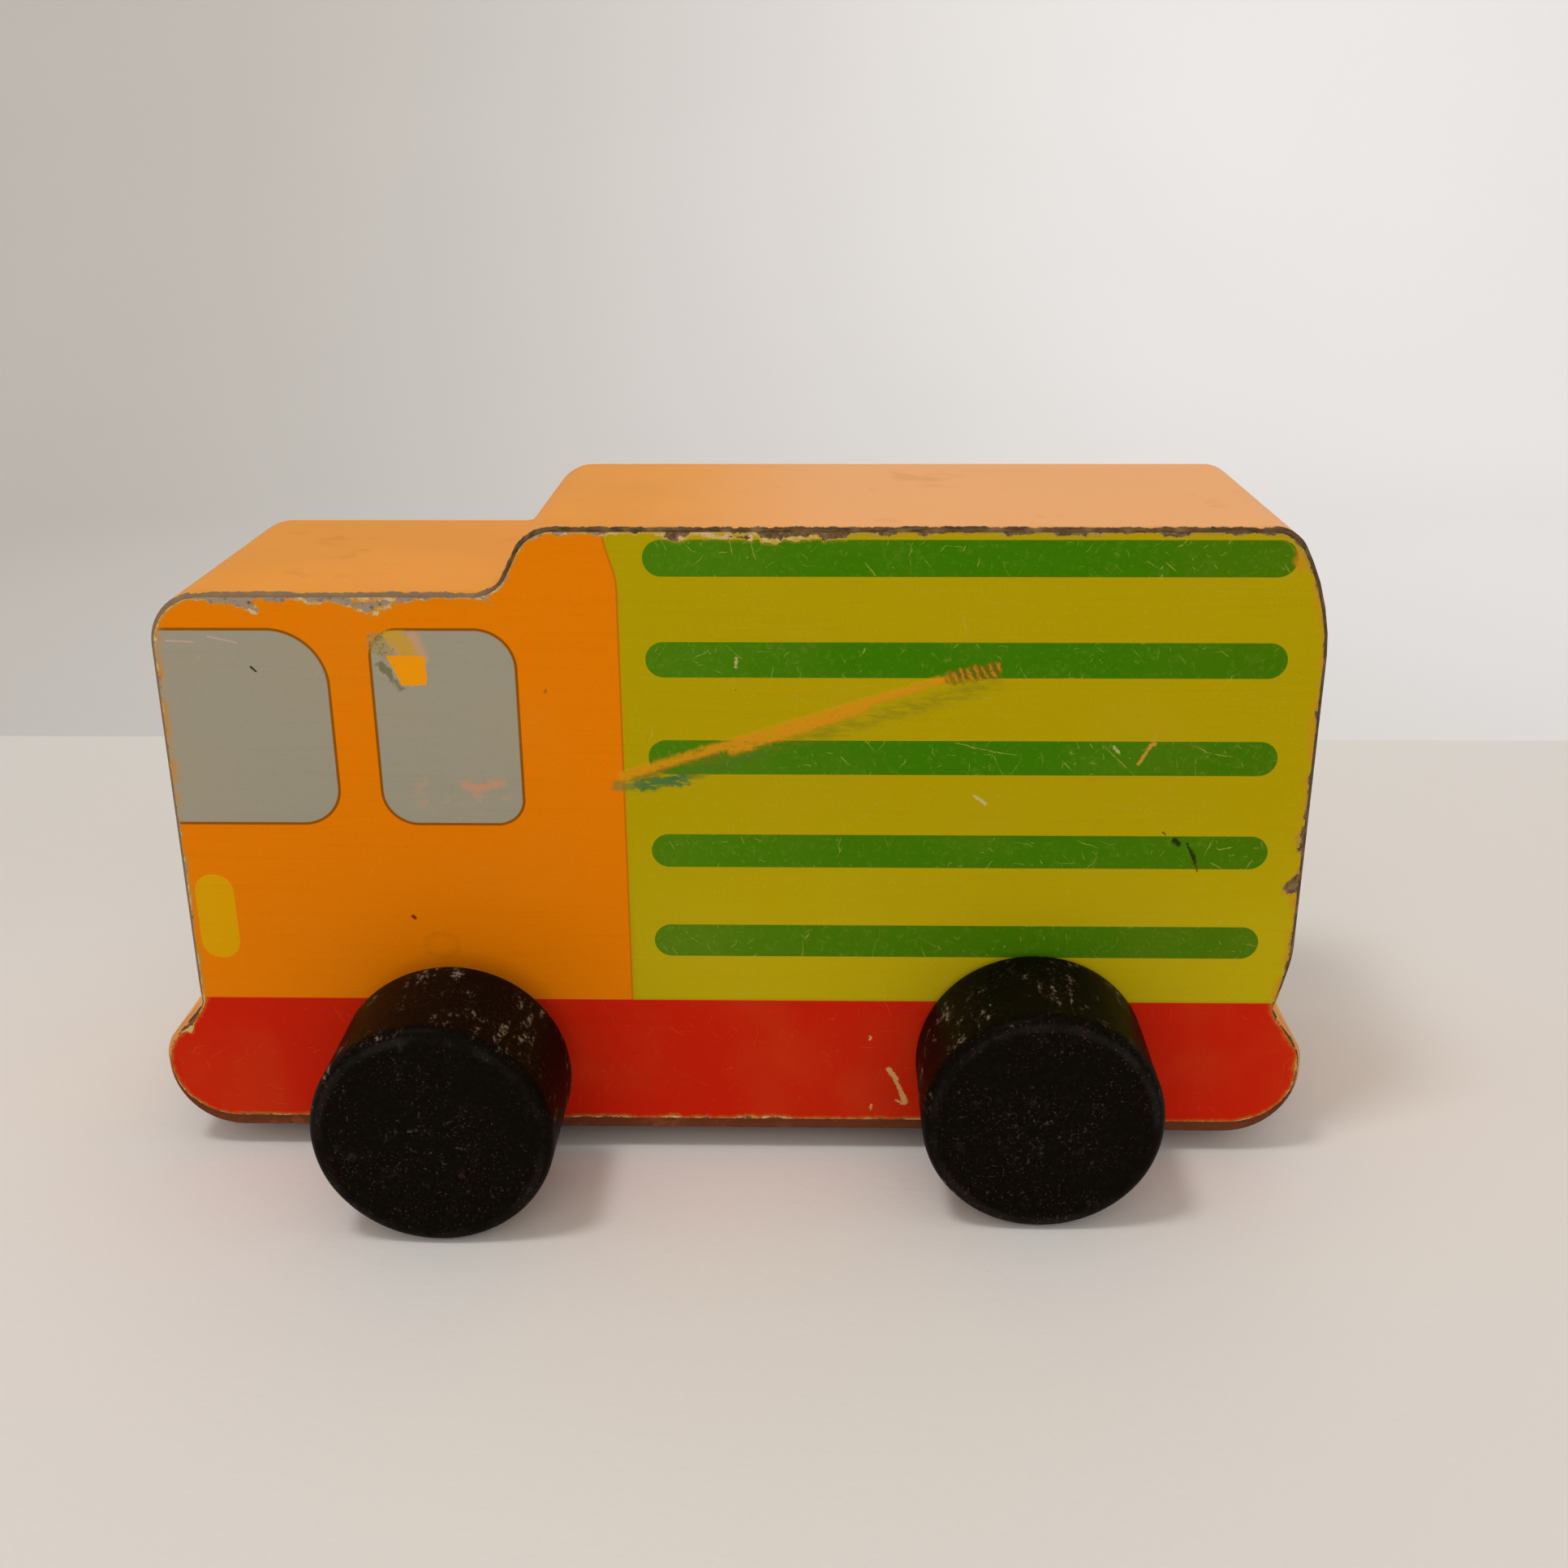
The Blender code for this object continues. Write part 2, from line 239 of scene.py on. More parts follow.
class Finish:
    """One procedural material and the nodes that make it."""

    def __init__(self, name, **constants):
        self.material = bpy.data.materials.new(name)
        self.material.use_nodes = True
        self.tree = self.material.node_tree
        self.tree.nodes.clear()
        self.surface = self.tree.nodes.new("ShaderNodeBsdfPrincipled")
        target = self.tree.nodes.new("ShaderNodeOutputMaterial")
        self.tree.links.new(self.surface.outputs["BSDF"], target.inputs["Surface"])
        for socket, value in constants.items():
            self.surface.inputs[SURFACE_SOCKETS[socket]].default_value = value
        place = self.node("ShaderNodeTexCoord", output="Object")
        self.place = self.node("ShaderNodeVectorMath", {"operation": "SCALE"}, {0: place, "Scale": 1 / MM})
        self.x = self.node("ShaderNodeSeparateXYZ", {}, {0: self.place})
        self.y = self.x.other("Y")
        self.z = self.x.other("Z")

    def node(self, kind, settings=None, sockets=None, output=0):
        """Adds a node: its settings first, then the values or links of its sockets."""
        node = self.tree.nodes.new(kind)
        for name, value in (settings or {}).items():
            setattr(node, name, value)
        for name, value in (sockets or {}).items():
            self.feed(node.inputs[name], value)
        return Shade(self, node.outputs[output])

    def feed(self, socket, value):
        if isinstance(value, Shade):
            self.tree.links.new(value.output, socket)
        elif hasattr(value, "__len__") and len(value) == 3 and socket.type == "RGBA":
            socket.default_value = (*value, 1.0)
        else:
            socket.default_value = value

    def math(self, operation, *terms):
        return self.node("ShaderNodeMath", {"operation": operation}, dict(enumerate(terms)))

    def blend(self, share, under, over):
        """One colour laid over another by a share from 0 to 1."""
        settings = {"data_type": "RGBA", "clamp_factor": True}
        return self.node("ShaderNodeMix", settings, {0: share, 6: under, 7: over}, output=2)

    def layers(self, base, *rows):
        """Lays tones over a colour in turn. Each row is a share and a tone."""
        for share, tone in rows:
            base = self.blend(share, base, tone)
        return base

    def length(self, across, up):
        return (across * across + up * up).math("SQRT")

    def vector(self, x, y, z):
        return self.node("ShaderNodeCombineXYZ", {}, {"X": x, "Y": y, "Z": z})

    def turned(self, degrees_y, stretch=(1.0, 1.0, 1.0), shift=(0.0, 0.0, 0.0)):
        """The place turned about Y and stretched, for patterns that run one way."""
        sockets = {
            "Vector": self.place,
            "Location": shift,
            "Rotation": (0.0, math.radians(degrees_y), 0.0),
            "Scale": stretch,
        }
        return self.node("ShaderNodeMapping", {"vector_type": "POINT"}, sockets)

    def noise(self, size, detail=2.0, rough=0.5, place=None, warp=0.0):
        """Cloudy values round 0.5, with features about size millimetres across."""
        sockets = {
            "Vector": place or self.place,
            "Scale": 1.0 / size,
            "Detail": detail,
            "Roughness": rough,
            "Distortion": warp,
        }
        return self.node("ShaderNodeTexNoise", {"noise_dimensions": "3D"}, sockets)

    def specks(self, size, radius, place=None, uneven=0.6):
        """1 inside small round specks, one in each cell of that size, of mixed sizes."""
        sockets = {"Vector": place or self.place, "Scale": 1.0 / size}
        spot = self.node("ShaderNodeTexVoronoi", {"feature": "F1"}, sockets)
        tone = self.node("ShaderNodeSeparateColor", {}, {0: spot.other("Color")})
        reach = radius / size
        return (spot - tone * (uneven * reach)).rise(reach, reach * 0.55)

    def warped(self, size, amount, turned=None):
        """The place pushed about by noise, so that round specks come out ragged."""
        push = self.noise(size, detail=2.0).other("Color")
        sockets = {0: push, 1: (amount,) * 3, 2: turned or self.place}
        return self.node("ShaderNodeVectorMath", {"operation": "MULTIPLY_ADD"}, sockets)

    def hairlines(self, cell, reach, width, seed, kept, shake):
        """1 along hairline scratches, one in some of the cells, each at its own angle."""
        flat = self.vector(self.x + shake + seed, self.z - shake + seed, 0.0)
        sockets = {"Vector": flat, "Scale": 1.0 / cell}
        spot = self.node("ShaderNodeTexVoronoi", {"voronoi_dimensions": "2D"}, sockets)
        sockets = {0: flat, 1: spot.other("Position")}
        off_x = self.node("ShaderNodeVectorMath", {"operation": "SUBTRACT"}, sockets)
        off_x = self.node("ShaderNodeSeparateXYZ", {}, {0: off_x})
        off_z = off_x.other("Y")
        chance = self.node("ShaderNodeSeparateColor", {}, {0: spot.other("Color")})
        heading = chance * math.pi
        cosine = heading.math("COSINE")
        sine = heading.math("SINE")
        across = abs(off_x * sine - off_z * cosine)
        along = abs(off_x * cosine + off_z * sine) / (chance.other("Blue") + 0.25)
        line = across.rise(width, width * 0.35) * along.rise(reach, reach * 0.5)
        return line * chance.other("Green").over(1.0 - kept)

    def stroke(self, row, ragged=None):
        """Distance outside a straight stroke; below 0 is inside. The row is x, z, x, z and half widths."""
        start_x, start_z, end_x, end_z, half_width, end_width = row
        span = math.hypot(end_x - start_x, end_z - start_z)
        unit_x = (end_x - start_x) / span
        unit_z = (end_z - start_z) / span
        from_x = self.x - start_x
        from_z = self.z - start_z
        along = (from_x * unit_x + from_z * unit_z).most(0.0).least(span)
        away = self.length(from_x - along * unit_x, from_z - along * unit_z)
        distance = away - (along * ((end_width - half_width) / span) + half_width)
        return distance if ragged is None else distance + ragged

    def strokes(self, rows, ragged=None):
        """Distance outside the nearest of several strokes."""
        distance = self.stroke(rows[0], ragged)
        for row in rows[1:]:
            distance = self.stroke(row, ragged).least(distance)
        return distance

    def rounded_box(self, low, high, radii):
        """Distance outside a box of (x, z) corners. Radii: low left, low right, top left, top right."""
        middle = ((low[0] + high[0]) / 2, (low[1] + high[1]) / 2)
        half = ((high[0] - low[0]) / 2, (high[1] - low[1]) / 2)
        from_x = self.x - middle[0]
        from_z = self.z - middle[1]
        radius = radii[0]
        if len(set(radii)) > 1:
            right = from_x.over(0.0)
            top = from_z.over(0.0)
            twist = radii[3] - radii[2] - radii[1] + radii[0]
            side = right * (radii[1] - radii[0]) + top * (radii[2] - radii[0])
            radius = side + right * top * twist + radii[0]
        over_x = abs(from_x) + radius - half[0]
        over_z = abs(from_z) + radius - half[1]
        corner = self.length(over_x.most(0.0), over_z.most(0.0))
        return corner + over_x.most(over_z).least(0.0) - radius

    def finish(self, base, rough, height=None, depth=0.0):
        """Feeds the surface. The height is in millimetres times the depth."""
        self.feed(self.surface.inputs["Base Color"], base)
        self.feed(self.surface.inputs["Roughness"], rough)
        if height is not None:
            sockets = {"Height": height, "Strength": 1.0, "Distance": depth * MM}
            self.feed(self.surface.inputs["Normal"], self.node("ShaderNodeBump", {}, sockets))
        return self.material


# ---------------------------------------------------------------- finishes


# Hairlines on a sheet: cell, reach, width, offset of the pattern, share of cells kept, strength
HAIRLINES = (
    (2.4, 1.3, 0.060, 3.0, 0.45, 1.0),
    (1.3, 0.45, 0.065, 47.0, 0.55, 0.7),
    (8.0, 3.4, 0.065, 91.0, 0.50, 1.0),
)

# Knocks on a sheet's edge: x, z, how far they spread, how much deeper the tear is
LEFT_KNOCKS = ((-47.0, 67.5, 15.0, 0.5), (-4.0, 74.8, 9.0, 0.6))
KNOCKS = (
    (7.0, 74.8, 9.0, 0.8),
    (-61.5, 66.5, 5.5, 1.0),
    (60.5, 73.0, 4.5, 0.9),
    (62.6, 40.4, 3.2, 0.9),
    (61.8, 34.3, 3.0, 1.3),
    (-62.0, 15.0, 3.5, 0.9),
    (65.0, 9.5, 3.5, 0.7),
    (0.0, 4.5, 26.0, 0.20),
)

# Strokes below: start x, start z, end x, end z, half width at the start, half width at the end
DEEP_TEARS = (
    (-51.8, 67.2, -50.0, 66.6, 0.50, 0.55),
    (-50.4, 67.0, -49.6, 66.1, 0.45, 0.40),
    (-40.6, 67.4, -37.0, 66.3, 0.50, 0.75),
    (-37.4, 66.4, -32.4, 67.5, 0.80, 0.20),
    (-44.5, 67.7, -41.0, 67.5, 0.45, 0.45),
    (-25.3, 67.5, -24.4, 66.8, 0.20, 0.12),
    (-3.0, 74.2, 3.0, 73.9, 0.18, 0.26),
    (6.0, 74.0, 13.0, 74.1, 0.24, 0.16),
)
DARK_NICKS = (
    (49.35, 40.15, 49.85, 39.65, 0.30, 0.26),
    (50.80, 39.70, 51.55, 38.30, 0.08, 0.24),
    (51.55, 38.30, 52.15, 36.50, 0.24, 0.09),
)

# Soft smears under the long rub: stroke, raggedness, soft edge, fibres, strength, tone
SMEARS = (
    ((-9.0, 46.9, 29.0, 58.0, 1.15, 0.55), 1.0, (0.9, -0.6), (0.32, 0.62), 0.5, (0.16, 0.165, 0.010)),
    ((-5.0, 47.3, 4.5, 50.1, 0.80, 0.40), 1.0, (0.4, -0.5), (0.30, 0.55), 0.5, (0.052, 0.150, 0.020)),
    ((-9.6, 46.5, -4.6, 47.0, 0.60, 0.70), 1.3, (0.25, -0.25), (0.32, 0.48), 0.85, (0.030, 0.150, 0.044)),
    ((-11.7, 46.3, -10.4, 46.3, 0.62, 0.55), 1.0, (0.3, -0.3), (0.25, 0.45), 0.7, (0.150, 0.200, 0.030)),
)

# Small marks: kind of edge, soft edge, strength, tone, strokes
SMALL_MARKS = (
    ("tight", (0.15, -0.15), 0.35, (0.60, 0.30, 0.04), ((46.2, 51.5, 46.6, 52.7, 0.14, 0.06),)),
    ("tight", (0.14, -0.06), 0.90, (0.58, 0.27, 0.035), (
        (44.8, 49.1, 46.0, 51.1, 0.15, 0.11),
        (46.0, 51.2, 46.5, 51.4, 0.16, 0.12),
    )),
    ("tight", (0.12, -0.06), 0.75, (0.55, 0.47, 0.20), (
        (42.0, 51.0, 42.6, 50.4, 0.13, 0.10),
        (27.2, 45.3, 28.4, 44.4, 0.12, 0.16),
        (1.3, 59.9, 1.4, 60.8, 0.10, 0.12),
    )),
    ("tight", (0.10, -0.06), 0.90, (0.66, 0.36, 0.12), (
        (18.5, 11.0, 19.4, 9.7, 0.30, 0.24),
        (19.3, 9.6, 20.0, 8.0, 0.20, 0.22),
        (20.0, 8.0, 20.4, 6.7, 0.24, 0.36),
        (19.4, 6.9, 20.3, 6.4, 0.08, 0.12),
        (16.2, 15.0, 16.3, 15.3, 0.12, 0.10),
        (16.4, 5.6, 16.5, 6.3, 0.08, 0.10),
    )),
    ("loose", (0.45, -0.30), 0.65, (0.62, 0.27, 0.14), (
        (-28.6, 46.3, -27.3, 45.9, 0.30, 0.38),
        (-27.3, 45.9, -24.4, 46.6, 0.38, 0.22),
    )),
    ("clean", (0.12, -0.10), 0.95, (0.016, 0.022, 0.002), ((48.05, 41.05, 48.35, 40.80, 0.08, 0.05),)),
    ("clean", (0.05, -0.05), 1.00, (0.035, 0.028, 0.012), ((-50.7, 59.8, -50.2, 59.3, 0.13, 0.10),)),
    ("clean", (0.10, -0.02), 0.60, (0.58, 0.38, 0.30), (
        (-59.5, 62.7, -56.6, 62.6, 0.07, 0.05),
        (-55.0, 63.2, -51.9, 62.5, 0.07, 0.04),
    )),
    ("clean", (0.08, -0.08), 1.00, (0.20, 0.02, 0.004), ((-35.6, 30.4, -35.4, 30.2, 0.22, 0.18),)),
)


def dimmed(tone, share):
    return tuple(part * share for part in tone)


def block_finish(look):
    """Satin orange paint, worn back to primer and fibreboard along the side edges, with a painted sheen on
    the box roof and painted shade on the bumpers and along the underside.
    """
    make = Finish("worn_orange_paint", specular=0.28, tint=(1.0, 0.88, 0.66, 1.0))
    height = make.z
    inward = look.half_thickness / MM - abs(make.y)
    broad = make.noise(6.0, detail=3.0)
    ragged = make.noise(1.1, detail=3.0, rough=0.6)

    # The ends are worn through above the chassis, and the roofs a little less
    upper = height.rise(19.0, 24.0)
    roofs = height.rise(64.0, 67.0)
    ends = abs(make.x + 0.5).rise(56.0, 61.0) * upper
    reach = upper * 0.62 - roofs * 0.26 + ends * 0.36 + (ragged - 0.5) * 0.7 + (broad - 0.5) * 0.5 + 0.10
    bare = inward.rise(reach + 0.06, reach - 0.06)
    filler = inward.rise(reach + 0.16, reach + 0.05) * (ragged.rise(0.45, 0.6) * 0.5)

    fibre = make.noise(0.8, detail=4.0, rough=0.7, place=make.turned(0.0, (0.5, 2.0, 1.0)))
    tone = make.noise(2.6, detail=2.0)
    cab = make.x.rise(-22.0, -27.0) * upper
    board = make.layers(
        dimmed(look.board, 0.34),
        (fibre.rise(0.32, 0.66), look.board),
        (tone.rise(0.52, 0.72) * 0.55, (0.27, 0.165, 0.065)),
        (cab * 0.60, (0.30, 0.195, 0.105)),
        # Painted shade: bare board turns dark red-brown towards the underside.
        (height.rise(13.0, 7.0) * 0.85, (0.135, 0.024, 0.006)),
    )

    cloud = make.noise(22.0, detail=3.0)
    # Painted sheen: the box roof is painted paler towards its rear, standing in for the glare off its
    # satin paint.
    painted_sheen = height.rise(66.5, 71.0) * make.x.rise(-12.0, 14.0)
    # Painted shade: below the chassis top, the bumpers are darkened near the sides to a shaded brown.
    bumper_shade = height.rise(20.0, 17.0) * inward.rise(3.0, 1.2)
    # Painted shade: the band along the underside is darkened to the red-brown of paint in shadow.
    under = height.rise(13.5, 6.0)
    dirt = make.specks(9.0, 0.16, place=make.warped(0.7, 0.8))
    grime = make.noise(9.0, detail=4.0, rough=0.65).rise(0.60, 0.74)
    base = make.layers(
        dimmed(look.paint, 0.93),
        (cloud.rise(0.35, 0.7), look.paint),
        # Painted sheen on the box roof.
        (painted_sheen * 0.75, (0.92, 0.43, 0.150)),
        # Painted shade on the bumpers.
        (bumper_shade * 0.65, (0.52, 0.215, 0.075)),
        # Painted shade along the underside.
        (under * 0.92, (0.165, 0.024, 0.005)),
        (dirt * 0.25, (0.42, 0.14, 0.02)),
        (grime * 0.20, (0.50, 0.17, 0.035)),
        (filler * 0.8, look.primer),
        (bare, board),
    )

    wave = make.noise(3.5, detail=2.0)
    grain = make.noise(0.5, detail=2.0)
    fine = make.noise(0.28, detail=2.0)
    rough = bare * 0.25 + grime * 0.08 + (grain - 0.5) * 0.10 + 0.50
    skin = wave * 0.35 + grain * 0.06 + fine * 0.02
    relief = skin - bare * (0.45 - fibre * 0.30)
    return make.finish(base, rough, relief, 0.16)


def print_artwork(make, look):
    """The printed inks, and where the stripes are: cab, load box, chassis band, windows and lamp."""
    x = make.x
    z = make.z
    border = x + z.rise(68.5, 74.6) * 1.3 + 11.0

    # Five stripes: one capsule, repeated at the nearest pitch
    pitch = 11.03
    lowest = 27.61
    nearest = ((z - lowest) / pitch).math("ROUND").most(0.0).least(4.0)
    off_x = (abs(x - 25.7) - 32.05).most(0.0)
    stripes = make.length(off_x, z - nearest * pitch - lowest).rise(2.02, 1.92)
    stripe_tone = make.layers(
        look.stripe,
        (z.rise(52.0, 26.0) * 0.55, (0.075, 0.176, 0.0020)),
        (x.rise(14.0, -8.0) * 0.45, (0.092, 0.215, 0.0060)),
        (x.rise(36.0, 60.0) * 0.40, (0.072, 0.146, 0.0006)),
    )

    front_window = make.rounded_box((-80.0, 41.7), (-42.5, 64.0), (4.3, 4.3, 6.3, 6.3))
    side_window = make.rounded_box((-37.8, 41.7), (-22.2, 64.0), (3.9, 3.0, 3.1, 4.4))
    window = front_window.least(side_window)
    lamp = make.rounded_box((-60.1, 25.1), (-55.7, 35.5), (2.15,) * 4)
    base = make.layers(
        look.cab,
        (border.rise(-0.05, 0.05), look.box),
        (abs(border + 0.12).rise(0.16, 0.05) * 0.55, (0.30, 0.12, 0.003)),
        (stripes, stripe_tone),
        (window.rise(0.20, 0.10) * 0.75, look.outline),
        (window.rise(-0.10, -0.22), look.window),
        (lamp.rise(0.05, -0.05), look.lamp),
        (z.rise(20.05, 19.93), look.chassis),
    )
    return base, stripes


def print_finish(side, look):
    """A lacquered print with torn edges, rub marks and fine scratches."""
    make = Finish(f"{side}_print_lacquer", specular=0.07, tint=(1.0, 0.80, 0.20, 1.0))
    left = side == "left"
    seed = 0.0 if left else 31.0
    x = make.x
    z = make.z
    base, stripes = print_artwork(make, look)

    # Ink grain, rubbing and specks, and painted light low on the load box
    grain = make.noise(0.22, detail=1.0)
    cloud = make.noise(14.0, detail=3.0)
    mottle = make.noise(0.6, detail=4.0, rough=0.7)
    lines = make.noise(0.5, detail=3.0, rough=0.7, place=make.turned(0.0, (0.03, 1.0, 1.0)))
    field = x.rise(-11.5, -10.0) * z.rise(20.0, 20.5)
    shake = (make.noise(2.2, detail=2.0) - 0.5) * 1.6
    rubbed = 0.0
    for cell, reach, width, offset, kept, strength in HAIRLINES:
        found = make.hairlines(cell, reach, width, seed + offset, kept, shake) * strength
        rubbed = found.most(rubbed)
    rubbed = rubbed * mottle.rise(0.30, 0.55)
    worn_place = make.noise(5.0, detail=3.0).rise(0.40, 0.62) * 0.80 + 0.20
    pits = make.specks(6.0, 0.15, place=make.warped(0.5, 0.6))
    flake_place = make.warped(0.9, 1.9, make.turned(33.0, shift=(0.0, 0.0, seed)))
    flakes = make.specks(17.0, 0.42, place=flake_place) * mottle.rise(0.42, 0.56)
    base = make.layers(
        base,
        (lines.rise(0.50, 0.70) * 0.035, (0.02, 0.02, 0.0)),
        ((grain - 0.30) * 0.12, (0.0, 0.0, 0.0)),
        (cloud.rise(0.45, 0.8) * 0.05, (0.55, 0.33, 0.06)),
        # Painted light: outside the stripes, the lime of the load box is lifted towards the bottom.
        (z.rise(48.0, 22.0) * field * (1.0 - stripes) * 0.11, (0.90, 0.72, 0.02)),
        (mottle.rise(0.50, 0.72) * stripes * 0.16, (0.30, 0.36, 0.04)),
        (rubbed * worn_place * (stripes * 0.42 + field * 0.12 + 0.08), (0.48, 0.46, 0.09)),
        (pits * 0.5, (0.10, 0.055, 0.010)),
        (flakes * 0.35, look.torn),
    )
    scar = 0.0
    if left:
        base, scar = left_marks(make, base)

    # The torn edge, deepest where the truck has been knocked
    rim = make.node("ShaderNodeAttribute", {"attribute_name": "rim"}, output="Fac")
    tooth = make.noise(0.9, detail=4.0, rough=0.7)
    chip = make.noise(3.2, detail=2.0).rise(0.42, 0.60)
    depth = torn_depth(make, LEFT_KNOCKS + KNOCKS if left else KNOCKS)
    edge = rim - (depth * (chip * 0.9 + 0.15) + (tooth - 0.5) * 1.0)
    if left:
        edge = edge.least(make.strokes(DEEP_TEARS, (tooth - 0.5) * 1.3))
    torn = edge.rise(0.05, -0.04)
    stain = make.noise(2.4, detail=3.0, rough=0.6)
    gone = (edge + stain.rise(0.48, 0.62) * 0.42).rise(-0.04, -0.12)
    above = z.rise(19.0, 21.0)
    in_cab = x.rise(-11.0, -14.0) * above
    in_box = above - in_cab
    ends = abs(x + 0.5).rise(57.0, 61.0)
    stained = edge.rise(1.0, 0.0) * ends * stain.rise(0.40, 0.60) * above
    paper = make.layers(
        look.torn,
        (tooth.rise(0.42, 0.60), (0.52, 0.24, 0.03)),
        (in_box * tooth.rise(0.40, 0.56) * 0.9, (0.50, 0.36, 0.035)),
        (x.rise(9.0, 17.0) * above * 0.8, (0.34, 0.24, 0.030)),
    )
    fibre = make.noise(0.5, detail=3.0, rough=0.7)
    board = make.layers(
        (0.10, 0.055, 0.022),
        (fibre.rise(0.35, 0.65), (0.22, 0.140, 0.065)),
        (in_cab * fibre.rise(0.25, 0.50) * 0.85, (0.36, 0.270, 0.200)),
        ((1.0 - above) * 0.7, (0.20, 0.070, 0.030)),
    )
    base = make.layers(
        base,
        (stained * 0.75, (0.56, 0.215, 0.012)),
        (edge.rise(0.45, 0.05) * 0.28, (0.52, 0.26, 0.02)),
        (torn * (stain.rise(0.36, 0.52) * 0.5 + 0.5), paper),
        (gone, board),
    )

    ripple = make.noise(9.0, detail=2.0)
    rough = torn * 0.28 + rubbed * 0.06 + (grain - 0.5) * 0.06 + scar * 0.20 + 0.33
    relief = ripple * 0.20 + grain * 0.012 - torn * 0.30 - gone * 0.30 - rubbed * 0.05 + scar * 0.25
    return make.finish(base, rough, relief, 0.13)


def torn_depth(make, knocks):
    """How far the sheet is torn back from its edge, by place, in millimetres."""
    depth = make.z.rise(66.0, 67.5) * 0.16 + make.z.rise(12.0, 20.0) * 0.08 + 0.14
    for place_x, place_z, spread, extra in knocks:
        away = make.length(make.x - place_x, make.z - place_z)
        depth = depth + away.rise(spread, 0.0) * extra
    return depth


def left_marks(make, base):
    """The marks that play has left on the side that faces the front of the stage."""
    loose = (make.noise(0.8, detail=3.0, rough=0.6) - 0.5) * 1.1
    tight = (make.noise(0.30, detail=3.0, rough=0.65) - 0.5) * 0.7
    grainy = make.noise(0.35, detail=5.0, rough=0.8)
    base, scar = long_rub(make, base, loose, grainy)
    base = window_marks(make, base, loose, tight, grainy)

    # Ring stain above the front wheel
    ring = abs(make.length((make.x + 32.6) / 1.2, make.z - 26.8) - 1.5 + loose * 0.25)
    base = make.blend(ring.rise(0.55, 0.05) * grainy.rise(0.35, 0.60) * 0.22, base, (0.30, 0.10, 0.01))

    edges = {"tight": tight, "loose": loose, "clean": None}
    for edge, soft, strength, tone, rows in SMALL_MARKS:
        mark = make.strokes(rows, edges[edge])
        base = make.blend(mark.rise(*soft) * strength, base, tone)
    ink = make.blend(make.z.rise(37.9, 36.6), (0.016, 0.022, 0.002), (0.140, 0.050, 0.004))
    base = make.blend(make.strokes(DARK_NICKS, tight).rise(0.12, -0.10) * 0.95, base, ink)
    return base, scar


def long_rub(make, base, loose, grainy):
    """A long crayon-like streak: soft green smears below, an orange rub above, hatched at its end."""
    drag = make.noise(0.50, detail=4.0, rough=0.7, place=make.turned(17.0, (0.22, 1.0, 1.0)))
    for row, raggedness, soft, fibres, strength, tone in SMEARS:
        smear = make.stroke(row, loose * raggedness)
        base = make.blend(smear.rise(*soft) * drag.rise(*fibres) * strength, base, tone)
    rub = make.stroke((-11.2, 47.4, 24.0, 58.8, 0.62, 0.50), loose * 0.9)
    rub = rub.least(make.stroke((1.0, 50.9, 15.0, 55.3, 0.95, 0.60), loose))
    brown = make.stroke((-10.2, 47.0, -1.0, 49.7, 0.26, 0.30), loose)
    patch = make.stroke((24.4, 58.8, 28.8, 59.7, 0.72, 0.80), loose * 1.2)
    bars = ((make.x + make.z * 0.45 + loose * 0.75) * 7.4).math("SINE")
    hatch = bars.rise(-0.5, 0.8) * grainy.rise(0.34, 0.52)
    base = make.layers(
        base,
        (rub.rise(0.32, -0.42) * drag.rise(0.26, 0.50) * 0.92, (0.64, 0.265, 0.008)),
        (rub.rise(0.1, -0.3) * grainy.rise(0.52, 0.66) * 0.30, (0.30, 0.17, 0.008)),
        (brown.rise(0.3, -0.2) * drag.rise(0.40, 0.60) * 0.6, (0.19, 0.12, 0.012)),
        (patch.rise(0.35, -0.25) * 0.70, (0.170, 0.110, 0.006)),
        (patch.rise(0.2, -0.3) * hatch * 0.80, (0.58, 0.235, 0.010)),
    )
    return base, rub.least(patch).rise(0.2, -0.3) * (drag + 0.5)


def window_marks(make, base, loose, tight, grainy):
    """An orange flake, yellow and rosy rubs and a blush of dirt on the rear window."""
    x = make.x
    z = make.z
    pane = z.rise(64.05, 63.75) * x.rise(-38.1, -37.7)
    cut = (x + 35.8 + (z - 60.6) * 0.43) * -0.92
    flake = make.rounded_box((-36.4, 57.8), (-31.9, 61.1), (0.1, 0.3, 0.4, 0.5)).most(cut)
    flake = flake + loose * 0.45 + tight * 0.4
    rosy = make.stroke((-33.1, 63.2, -32.0, 60.8, 0.60, 0.45), loose)
    yellow = make.stroke((-35.0, 63.3, -33.6, 61.4, 1.20, 0.90), loose * 1.3)
    scuffed = make.stroke((-37.2, 62.6, -35.9, 61.3, 1.10, 0.75), loose * 1.4)
    bruise = make.stroke((-36.7, 60.1, -34.7, 57.4, 0.42, 0.22), loose * 1.3)
    dusty = make.rounded_box((-34.2, 43.4), (-23.4, 47.2), (1.4,) * 4).rise(0.9, -0.9)
    blush = make.noise(1.6, detail=4.0, warp=1.0).rise(0.52, 0.66) * dusty
    return make.layers(
        base,
        (pane * rosy.rise(0.5, -0.4) * 0.65, (0.60, 0.31, 0.15)),
        (pane * yellow.rise(0.5, -0.5) * grainy.rise(0.26, 0.50) * 0.90, (0.58, 0.305, 0.014)),
        (pane * scuffed.rise(0.3, -0.4) * 0.65, (0.36, 0.26, 0.080)),
        (pane * scuffed.rise(0.2, -0.4) * grainy.rise(0.50, 0.60) * 0.7, (0.13, 0.105, 0.030)),
        (flake.rise(0.10, -0.06), (0.84, 0.305, 0.004)),
        (bruise.rise(0.2, -0.2) * flake.rise(-0.05, 0.05) * 0.75, (0.130, 0.125, 0.035)),
        (blush * 0.30, (0.58, 0.30, 0.17)),
    )


